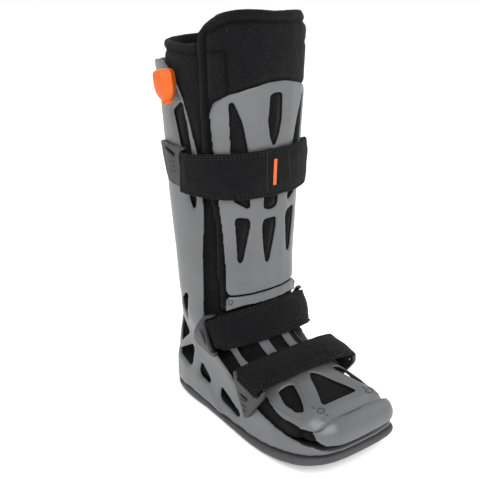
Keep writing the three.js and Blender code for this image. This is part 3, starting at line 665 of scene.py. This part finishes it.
FLAP_TOP_RISE = [
    # column of the photograph, rise of the tongue's top edge in mm
    (196, -1.0), (200, -4.5), (204, -4.5), (208, -3.0), (216, 0.5), (224, 2.6), (233, 3.6),
    (250, 3.2), (266, 2.6), (280, 1.4), (292, -0.6), (300, -1.8), (306, -2.2),
]
FLAP_BEND_ZONE = (0.385, 0.425)
LINER_BEND_ZONE = (0.36, 0.395)
LINER_FRONT_ZONE = (0.0, 0.06)
LINER_RISE, LINER_FRONT_RISE = 0.0012, 0.0035


def flap_bend(points):
    """The rise of the tongue's top edge."""
    columns, rises = zip(*FLAP_TOP_RISE)
    rise = np.interp(pixel_columns(points), columns, rises) / 1000
    return rise * soft_step(points[:, 2], *FLAP_BEND_ZONE)


def liner_bend(points):
    """The rise of the bootie's top edge, most of it in front."""
    front = 1 - soft_step(points[:, 1], *LINER_FRONT_ZONE)
    return (LINER_RISE + LINER_FRONT_RISE * front) * soft_step(points[:, 2], *LINER_BEND_ZONE)


def binding(rim, width, depth):
    """A rounded welt along the rim and the groove where it is sewn down."""
    welt = BINDING_HEIGHT * np.sqrt(np.clip(1 - ((rim - width / 2) / (width / 2)) ** 2, 0, 1))
    return welt - hill(rim, width, SEAM_WIDTH) * depth


def strip_seam(points, rim):
    """The seam of the strip along the tongue's side edges, upright and then level at its top."""
    sides = soft_step(np.abs(points[:, 0] - MIDDLE), *STRIP_FROM)
    upright = hill(rim, STRIP_SEAM, STRIP_SEAM_WIDTH) * (points[:, 2] < STRIP_TOP)
    inside = soft_step(rim, FLAP_BINDING, FLAP_BINDING + STRIP_TOP_BLUR) * (rim < STRIP_SEAM)
    level = hill(points[:, 2], STRIP_TOP, STRIP_SEAM_WIDTH) * inside
    return np.maximum(upright, level) * sides


def flap_seam_shade(points, rim):
    """How much painted shade darkens the tongue's grooves, from 0 to 1."""
    strip = strip_seam(points, rim) * STRIP_SEAM_SHADE
    return hill(rim, FLAP_BINDING, SEAM_SHADE_WIDTH) + strip


def liner_seam_shade(points, rim):
    # painted shade in the bootie's binding groove
    return hill(rim, LINER_BINDING, SEAM_SHADE_WIDTH)


def flap_shaping(points, outward, rim):
    """The tongue's binding, strip and wrinkles, and its thinner side away from the bulb."""
    across = points[:, 0] - MIDDLE
    far = soft_step(across, *FAR_SIDE_ACROSS) * soft_step(points[:, 2], *FAR_SIDE_ABOVE)
    far *= outward[:, 0] > FAR_SIDE_FACING
    strip = hill(rim, (FLAP_BINDING + STRIP_SEAM) / 2, STRIP_WIDTH) * STRIP_HEIGHT
    strip *= soft_step(np.abs(across), *STRIP_FROM)
    strip -= strip_seam(points, rim) * STRIP_SEAM_DEPTH
    wrinkles = waves(points, FLAP_WRINKLE, seed=3) * FLAP_WRINKLE_HEIGHT
    wrinkles *= soft_step(rim, *WRINKLES_FROM_RIM)
    return binding(rim, FLAP_BINDING, FLAP_GROOVE) + strip - far * FAR_SIDE_THINNER + wrinkles


def liner_shaping(points, outward, rim):
    """The bootie's binding and wrinkles, and its creases below the calf."""
    phase = points[:, 2] * 2 * math.pi / CREASE_SPACING + points[:, 1] * CREASE_SLANT
    creases = np.sin(phase) * CREASE_HEIGHT * (1 - soft_step(points[:, 2], *CREASES_BELOW))
    wrinkles = waves(points, LINER_WRINKLE, seed=5) * LINER_WRINKLE_HEIGHT
    wrinkles *= soft_step(rim, *WRINKLES_FROM_RIM)
    return binding(rim, LINER_BINDING, LINER_GROOVE) + creases + wrinkles


padding("front_flap", "padded_tongue", voxel=0.0019, puff=0.004,
        shaping=flap_shaping, bend=flap_bend, seam_shading=flap_seam_shade)
padding("liner", "padded_bootie", voxel=0.0024, puff=0.003,
        shaping=liner_shaping, bend=liner_bend, seam_shading=liner_seam_shade)

# ---- Straps ----
STRAP_VOXEL = 0.0011
STRAP_EDGE = 0.0026
STRAP_EASE = (14, 0.0008)
STRAP_EDGE_FROM = (0.0, 0.0008)
STRAP_EDGE_TO = (STRAP_EDGE - 0.0005, STRAP_EDGE + 0.0005)
STRAP_EDGE_HEIGHT = 0.0004
STRAP_GROOVE = (STRAP_EDGE + 0.0012, 0.0009)
STRAP_GROOVE_DEPTH = 0.0006
STRAP_GROOVE_SHADOW = (STRAP_EDGE + 0.0009, 0.0009)
STRAP_GROOVE_SHADE = 0.7
STRAP_PILLOW = 0.0011
STRAP_PILLOW_FROM = (0.004, 0.014)
STRAP_WAVE, STRAP_WAVE_HEIGHT = 0.03, 0.0003
STRAP_END = (0.02, 0.055)
STITCH_LENGTH, STITCH_GAP, STITCH_RADIUS = 0.0026, 0.0012, 0.00035
STITCH_ROWS = (STRAP_EDGE + 0.0004, STRAP_EDGE + 0.0026)
STITCH_SIDES = 6
STITCH_FORM = ((-0.5, 0.35), (-0.3, 1.0), (0.3, 1.0), (0.5, 0.35))
STITCH_RUN_LEAST = 12
STRAP_FOLD = {"forefoot_strap": 0.0075, "ankle_strap": 0.003}
STRAP_BULGE = {"calf_strap": 0.0035, "ankle_strap": 0.0045, "forefoot_strap": 0.006}


def level_lines(mesh, values, level, outer):
    """Lines on a mesh where a value per vertex reaches a level, as lists of points and normals."""
    points, normal_rows = coordinates(mesh), normals(mesh)
    crossing, links = {}, {}
    for polygon in mesh.polygons:
        ends = []
        corners = list(polygon.vertices)
        for a, b in zip(corners, corners[1:] + corners[:1]):
            if (values[a] < level) != (values[b] < level) and outer[a] and outer[b]:
                key = (min(a, b), max(a, b))
                t = (level - values[a]) / (values[b] - values[a])
                crossing[key] = (points[a] + (points[b] - points[a]) * t, normal_rows[a])
                ends.append(key)
        if len(ends) == 2:
            links.setdefault(ends[0], []).append(ends[1])
            links.setdefault(ends[1], []).append(ends[0])
    lines, seen = [], set()
    for start in sorted(links, key=lambda key: (len(links[key]), key)):
        if start in seen:
            continue
        line, here = [], start
        while here is not None:
            seen.add(here)
            line.append(crossing[here])
            here = next((k for k in links[here] if k not in seen), None)
        lines.append(line)
    return lines


def ring(made, centre, across, up, radius, sides):
    """A ring of vertices round a centre."""
    turns = [2 * math.pi * k / sides for k in range(sides)]
    return [made.verts.new(centre + (across * math.cos(turn) + up * math.sin(turn)) * radius)
            for turn in turns]


def join_rings(made, rings, closed=False):
    """Faces between neighbouring rings, and over both ends of an open row of rings."""
    for low, high in zip(rings, rings[1:] + rings[:1] if closed else rings[1:]):
        for corners in zip(low, low[1:] + low[:1], high[1:] + high[:1], high):
            made.faces.new(corners)
    if not closed:
        made.faces.new(rings[0][::-1])
        made.faces.new(rings[-1])


def stitches(name, lines):
    """Rows of short raised threads along lines on a surface."""
    made = bmesh.new()
    for line in lines:
        since = 0.0
        for (a, normal), (b, _) in zip(line, line[1:]):
            length = float(np.linalg.norm(b - a))
            since += length
            if since < STITCH_LENGTH + STITCH_GAP or length < SAME_PLACE:
                continue
            since = 0.0
            way = Vector(b - a).normalized()
            up = Vector(normal).normalized()
            across = way.cross(up).normalized()
            spot = Vector(b) + up * STITCH_RADIUS * 0.4
            join_rings(made, [
                ring(made, spot + way * share * STITCH_LENGTH, across, up,
                     STITCH_RADIUS * size, STITCH_SIDES)
                for share, size in STITCH_FORM])
    bmesh.ops.recalc_face_normals(made, faces=made.faces)
    add_piece(name, mesh_from(name, made), "strap_webbing", material="thread")


HEIGHT_SHARE = 0.3
FACING_LEAST = 0.25


def facing_out(mesh, node):
    """True where the surface faces away from the leg's middle."""
    low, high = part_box(node)
    points, outward = coordinates(mesh), normals(mesh)
    centre = np.array([(low.x + high.x) / 2, high.y, (low.z + high.z) / 2])
    away = points - centre
    away[:, 2] *= HEIGHT_SHARE
    return (outward * away).sum(1) > FACING_LEAST * np.linalg.norm(away, axis=1)


def webbing(node, piece_name, seed):
    """A strap with a sewn edge, its end on the far side rounded out and folded in."""
    mesh = eased(remeshed(node, STRAP_VOXEL), *STRAP_EASE)
    rim = rim_distances(mesh, rim_tree(node))
    outer = facing_out(mesh, node)
    points, outward = coordinates(mesh), normals(mesh)
    edge = soft_step(rim, *STRAP_EDGE_FROM) * (1 - soft_step(rim, *STRAP_EDGE_TO))
    lift = edge * STRAP_EDGE_HEIGHT - hill(rim, *STRAP_GROOVE) * STRAP_GROOVE_DEPTH
    lift += soft_step(rim, *STRAP_PILLOW_FROM) * STRAP_PILLOW
    lift += waves(points, STRAP_WAVE, seed) * STRAP_WAVE_HEIGHT
    moved = points + outward * (lift * outer)[:, None]
    skin = outer.astype(float)[:, None]
    for _ in range(LAST_ROUNDS):
        skin = averaged(skin, edge_pairs(mesh))
    side = soft_step(points[:, 0], *STRAP_END)
    moved[:, 0] += side * skin[:, 0] * STRAP_BULGE.get(node, 0)
    moved[:, 0] -= side * (1 - skin[:, 0]) * STRAP_FOLD.get(node, 0)
    store_seam_shade(mesh, hill(rim, *STRAP_GROOVE_SHADOW) * STRAP_GROOVE_SHADE * outer)
    put_coordinates(mesh, moved)
    SHAPED[piece_name] = mesh
    add_piece(piece_name, mesh, "strap_webbing", [node])
    stitches(piece_name + "_stitches", [
        line for level in STITCH_ROWS for line in level_lines(mesh, rim, level, outer)
        if len(line) > STITCH_RUN_LEAST])


webbing("calf_strap", "calf_webbing", seed=11)
webbing("ankle_strap", "ankle_webbing", seed=12)
webbing("forefoot_strap", "forefoot_webbing", seed=13)
webbing("calf_strap_rear", "rear_calf_webbing", seed=14)

LABEL_VOXEL = 0.00035
LABEL_EASE = (6, 0.0002)
LABEL_EDGE, LABEL_GROOVE = (0.0, 0.0006), (0.0011, 0.0004)
LABEL_EDGE_HEIGHT = 0.0002
LABEL_SHARE = np.array([0.66, 1.0, 0.82])
LABEL_SHIFT = np.array([-0.0008, -0.0012, 0.0])


def label_tab():
    """The tab on the calf strap, bare, with a raised edge."""
    mesh = eased(remeshed("strap_label", LABEL_VOXEL), *LABEL_EASE)
    rim = rim_distances(mesh, rim_tree("strap_label"))
    lift = (hill(rim, *LABEL_EDGE) - hill(rim, *LABEL_GROOVE)) * LABEL_EDGE_HEIGHT
    points, outward = coordinates(mesh), normals(mesh)
    points = points + outward * lift[:, None]
    centre = points.mean(0)
    put_coordinates(mesh, centre + (points - centre) * LABEL_SHARE + LABEL_SHIFT)
    add_piece("orange_tab", mesh, "label_fabric", ["strap_label"])


label_tab()

# ---- Beads, ribs and marks that stand on the pieces, placed by the photograph's pixels ----
def pixel_ring(x, y, half_width, half_height, count):
    turns = [2 * math.pi * k / count for k in range(count)]
    return [(x + half_width * math.cos(turn), y + half_height * math.sin(turn))
            for turn in turns]


BEADS = {
    # name: (carrying piece, slot, material, radius, sunk share, closed, runs of pixels)
    "toe_window_beads": ("foot_plate", "shell_plastic", "shell_plastic", 0.0007, 0.35, False, [
        [(292, 377), (297, 382), (302.5, 391.5), (306, 401), (307.2, 411), (307.5, 419)],
        [(268, 400), (276, 408), (286, 415), (298, 420), (307, 423)],
    ]),
    "toe_rivet_rings": ("foot_plate", "trim_plastic", "trim_plastic", 0.00045, 0.2, True, [
        pixel_ring(321, 410.8, 3.6, 2.5, 16),
        pixel_ring(369.4, 390.4, 3.6, 2.5, 16),
    ]),
    "toe_rivet_dashes": ("foot_plate", "trim_plastic", "trim_plastic", 0.0006, 0.4, False, [
        [(311.5, 407), (314.5, 408.6)], [(325.5, 414.6), (328.6, 415.6)],
        [(362, 386.8), (365, 388)], [(375.2, 393), (378.2, 394)],
    ]),
    "ankle_rivet_rings": ("ankle_edge_plate", "trim_plastic", "trim_plastic", 0.0004, 0.2, True, [
        pixel_ring(230.6, 302.4, 2.2, 2.2, 12),
    ]),
    "calf_overlap_seam": ("calf_webbing", "strap_webbing", "thread", 0.0004, 0.5, False, [
        [(267.6, 152), (267.4, 162), (267.2, 172), (267.2, 182), (267.4, 192)],
        [(289, 151), (289, 158), (289.5, 166), (290, 174), (290.5, 181)],
    ]),
    "ankle_end_seam": ("ankle_webbing", "strap_webbing", "thread", 0.0004, 0.5, False, [
        [(288, 296.5), (292, 296), (297, 298), (301, 303), (302, 309), (300.5, 315), (296, 319.5)],
    ]),
    "forefoot_end_seam": ("forefoot_webbing", "strap_webbing", "thread", 0.0004, 0.5, False, [
        [(336, 356), (340, 355.5), (344, 352), (345.5, 347), (343, 342)],
    ]),
    "calf_loop_ribs": ("calf_left", "trim_plastic", "trim_plastic", 0.0009, 0.35, False, [
        [(168.5, 157), (173.5, 156.4)], [(169, 162), (174, 161.4)],
        [(169.6, 167), (174.6, 166.4)], [(170.4, 172), (175.4, 171.4)],
    ]),
    "ankle_loop_ribs": ("ankle_left", "trim_plastic", "trim_plastic", 0.0008, 0.35, False, [
        [(199.5, 329), (202.5, 338)], [(202.5, 327), (206, 338)],
    ]),
    "forefoot_loop_ribs": ("forefoot_left", "trim_plastic", "trim_plastic", 0.0008, 0.35, False, [
        [(240, 398.5), (245.5, 402.5)], [(241, 404), (246, 408)], [(242.5, 409.5), (246, 412.5)],
    ]),
}
MIRRORED = {f"{place}_left": f"{place}_right" for place in STRAP_PLACES}
BEAD_STEP = 0.5
BEAD_SIDES = 8
BEAD_END = 0.45


def surface_tree(mesh):
    made = bmesh.new()
    made.from_mesh(mesh)
    tree = BVHTree.FromBMesh(made)
    made.free()
    return tree


def seen_at(tree, pixel):
    """Where the camera's ray through a pixel meets a surface."""
    turn = scene.camera.rotation_euler.to_matrix()
    ray = turn @ Vector((
        (pixel[0] - IMAGE_SIZE[0] / 2) / FOCAL_PIXELS,
        (IMAGE_SIZE[1] / 2 - pixel[1]) / FOCAL_PIXELS, -1)).normalized()
    place, normal, _, _ = tree.ray_cast(scene.camera.location, ray)
    return None if place is None else (place, normal)


def finely(run, closed):
    """A run of pixels at half-pixel steps."""
    ends = run + run[:1] if closed else run
    fine = []
    for (ax, ay), (bx, by) in zip(ends, ends[1:]):
        steps = max(1, round(math.hypot(bx - ax, by - ay) / BEAD_STEP))
        fine.extend((ax + (bx - ax) * i / steps, ay + (by - ay) * i / steps) for i in range(steps))
    return fine if closed else fine + run[-1:]


def bead(made, spots, radius, sunk, closed):
    """A thin rounded bar along spots of place and normal."""
    count = len(spots)
    rings = []
    for i, (place, normal) in enumerate(spots):
        before = spots[i - 1 if i or closed else 0][0]
        after = spots[(i + 1) % count if closed else min(i + 1, count - 1)][0]
        way = (after - before).normalized()
        across = way.cross(normal).normalized()
        up = across.cross(way)
        end = BEAD_END if not closed and i in (0, count - 1) else 1.0
        centre = place + up * radius * (1 - 2 * sunk)
        rings.append(ring(made, centre, across, up, radius * end, BEAD_SIDES))
    join_rings(made, rings, closed)


def beads(name, carrier, slot, material, radius, sunk, closed, runs):
    """The bars of one row of the table, on their carrier and on its mirrored twin."""
    made = bmesh.new()
    tree = surface_tree(SHAPED[carrier])
    other = MIRRORED.get(carrier)
    other_tree = surface_tree(SHAPED[other]) if other else None
    for run in runs:
        spots = [spot for spot in (seen_at(tree, p) for p in finely(run, closed)) if spot]
        if len(spots) < 2:
            continue
        bead(made, spots, radius, sunk, closed)
        if other_tree:
            across = [other_tree.find_nearest(Vector((2 * MIDDLE - p.x, p.y, p.z)))[:2]
                      for p, _ in spots]
            outer = [(p, n if n.x > 0 else -n) for p, n in across]
            bead(made, outer, radius, sunk, closed)
    bmesh.ops.remove_doubles(made, verts=made.verts, dist=SAME_PLACE)
    bmesh.ops.recalc_face_normals(made, faces=made.faces)
    add_piece(name, mesh_from(name, made), slot, material=material)


for name, values in BEADS.items():
    beads(name, *values)

# ---- Inflation bulb ----
BULB_PROFILE = [
    # radius and height in percent, share of six-sidedness
    (28, -2, 0), (46, -1, 0), (54, 2, 0), (54, 5, 0), (45, 6.5, 0), (44, 9, 0), (50, 10.5, 0),
    (57, 13, .2), (67, 18, .5), (80, 25, .8), (91, 33, 1), (97, 42, 1), (100, 52, 1),
    (101, 64, 1), (101, 76, 1), (98, 86, 1), (93, 92, 1), (84, 96.5, .9), (66, 99, .7),
    (40, 100, .4), (0.5, 100.3, 0),
]
BULB_RADII = (0.0098, 0.0128)
BULB_HEIGHT = 0.034
BULB_LEAN = math.radians(-14)
BULB_SIDES = 72
BULB_TEETH = 14
BULB_TOOTH = 0.10
BULB_COLLAR = (2, 5)
BULB_FLATNESS = 0.95
SIXTH = math.pi / 3


def bulb():
    """The bulb with six soft flats above a toothed collar, leaning with the shell's edge."""
    low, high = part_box("air_bulb")
    centre = (low + high) / 2
    centre.x = low.x + BULB_RADII[0]
    made = bmesh.new()
    rings = []
    for radius, height, six in BULB_PROFILE:
        level = []
        for k in range(BULB_SIDES):
            angle = 2 * math.pi * k / BULB_SIDES
            face = math.cos(SIXTH / 2) / math.cos((angle + SIXTH / 2) % SIXTH - SIXTH / 2)
            flat = 1 + (face / BULB_FLATNESS - 1) * BULB_FLATNESS * six
            tooth = math.copysign(BULB_TOOTH, math.sin(BULB_TEETH * angle))
            reach = radius / 100 * flat * (1 + tooth * (height in BULB_COLLAR))
            x = math.cos(angle) * reach * BULB_RADII[0]
            y = math.sin(angle) * reach * BULB_RADII[1]
            z = (height - 50) / 100 * BULB_HEIGHT
            lean_y = y * math.cos(BULB_LEAN) - z * math.sin(BULB_LEAN)
            lean_z = y * math.sin(BULB_LEAN) + z * math.cos(BULB_LEAN)
            level.append(made.verts.new((centre.x + x, centre.y + lean_y, centre.z + lean_z)))
        rings.append(level)
    join_rings(made, rings)
    bmesh.ops.recalc_face_normals(made, faces=made.faces)
    mesh = mesh_from("inflation_bulb", made)
    finer = with_modifier("bulb_finer", mesh, "SUBSURF", levels=1)
    add_piece("inflation_bulb", finer, "bulb_rubber", ["air_bulb"])


bulb()

# ---- Floor and studio light ----
FLOOR_HALF = 30.0
FLOOR_BELOW = 0.0002
FLOOR_GLOW = 0.3
WORLD_STRENGTH = 0.72
LAMP_AIM = Vector((0, 0, 0.2))


def floor():
    made = bmesh.new()
    bmesh.ops.create_grid(made, x_segments=8, y_segments=8, size=FLOOR_HALF)
    mesh = mesh_from("studio_floor", made)
    r = Recipe("studio_paper")
    paper = r.noise(40, 3)
    mesh.materials.append(r.finish(
        Base_Color=r.colour(paper, (0.93, 0.93, 0.93), (0.95, 0.95, 0.95)),
        Roughness=0.9 + paper * 0.05,
        Emission_Color=(1, 1, 1, 1),
        Emission_Strength=FLOOR_GLOW))
    piece = link("studio_floor", mesh)
    piece.location.z = cad_low.z - FLOOR_BELOW


LAMPS = {
    # name: (place, size, power)
    "key": ((-0.8, -1.6, 1.7), 0.9, 36),
    "fill": ((1.7, -0.8, 1.0), 1.2, 6),
    "rear": ((0.3, 1.6, 1.6), 1.2, 12),
    "low": ((-1.3, -0.5, 0.3), 0.8, 3),
}


def studio():
    for name, (place, size, power) in LAMPS.items():
        data = bpy.data.lights.new(name, "AREA")
        data.shape, data.size, data.energy = "SQUARE", size, power
        lamp = bpy.data.objects.new(name, data)
        scene.collection.objects.link(lamp)
        lamp.location = place
        way = LAMP_AIM - Vector(place)
        lamp.rotation_euler = way.to_track_quat("-Z", "Y").to_euler()
    world = bpy.data.worlds.new("studio_air")
    scene.world = world
    world.use_nodes = True
    background = world.node_tree.nodes["Background"]
    background.inputs["Color"].default_value = (1, 1, 1, 1)
    background.inputs["Strength"].default_value = WORLD_STRENGTH
    scene.view_settings.view_transform = "Standard"


floor()
studio()
